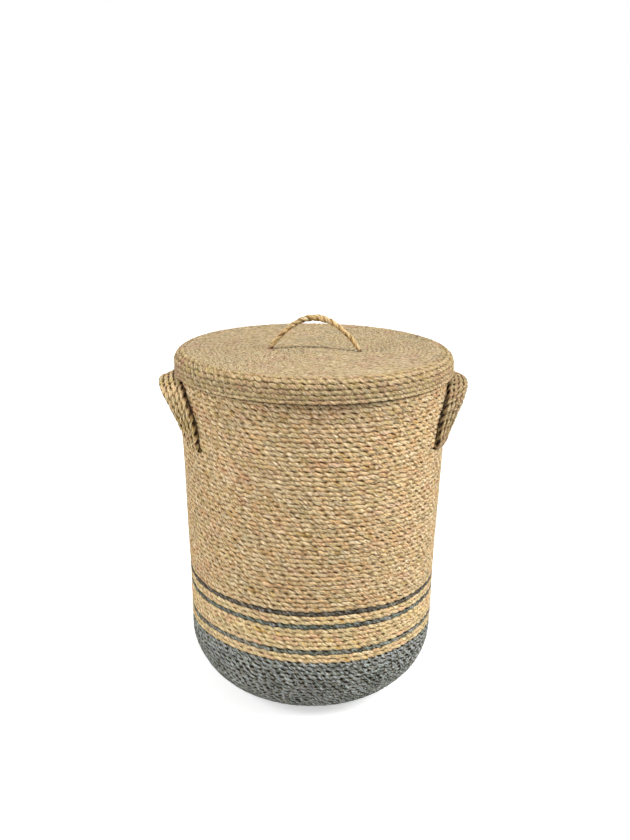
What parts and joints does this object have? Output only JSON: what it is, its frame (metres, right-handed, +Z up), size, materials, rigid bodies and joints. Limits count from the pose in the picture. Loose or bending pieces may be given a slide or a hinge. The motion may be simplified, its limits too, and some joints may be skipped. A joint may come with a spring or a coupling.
{
  "type": "woven laundry basket",
  "caption": "Tall round laundry hamper coiled from seagrass cord, with grey foot and stripes, a lift-off cap lid with a rope loop, and a cord handle on each side.",
  "frame": {"origin": "centre of the round floor, at the height of the surface that the hamper stands on", "axes": "+Z up along the body's axis, +X towards the right handle, +Y towards the back, with the side seen in the picture facing -Y"},
  "size_m": [0.4546, 0.4114, 0.5797],
  "materials": {
    "natural_seagrass": "matte twisted seagrass cord",
    "grey_seagrass": "matte seagrass cord dyed slate grey",
    "handle_cord": "matte twisted seagrass cord",
    "pale_cord": "pale twisted cord with a slight sheen"
  },
  "bodies": {
    "basket": {"floor_coil": "grey_seagrass", "heel_coil": "grey_seagrass", "natural_band_low": "natural_seagrass", "stripe_low": "grey_seagrass", "natural_band_mid": "natural_seagrass", "stripe_mid": "grey_seagrass", "natural_band_high": "natural_seagrass", "stripe_high": "grey_seagrass", "wall_coil_lower": "natural_seagrass", "wall_coil_middle": "natural_seagrass", "handle_band": "natural_seagrass", "wall_coil_upper": "natural_seagrass", "neck_coil": "natural_seagrass", "rim_row": "natural_seagrass", "left_handle_cord_1": "handle_cord", "left_handle_cord_2": "handle_cord", "left_handle_cord_3": "handle_cord", "left_handle_cord_4": "handle_cord", "right_handle_cord_1": "handle_cord", "right_handle_cord_2": "handle_cord", "right_handle_cord_3": "handle_cord", "right_handle_cord_4": "handle_cord"},
    "lid": {"lid_disc_coil": "natural_seagrass", "lid_shoulder_coil": "natural_seagrass", "lid_skirt_coil": "natural_seagrass", "lid_edge_row": "natural_seagrass", "lid_loop_knots": "pale_cord"},
    "lid_loop": {"lid_loop_rope": "pale_cord"}
  },
  "joints": [
    {"name": "lid_lift", "type": "slide", "parent": "basket", "child": "lid", "axis": [0, 0, 1], "range_m": [0, 0.28]},
    {"name": "lid_loop_fold", "type": "hinge", "parent": "lid", "child": "lid_loop", "pos_m": [0, -0.015, 0.5337], "axis": [0.9833, -0.1822, 0], "range_deg": [-80, 80]}
  ]
}
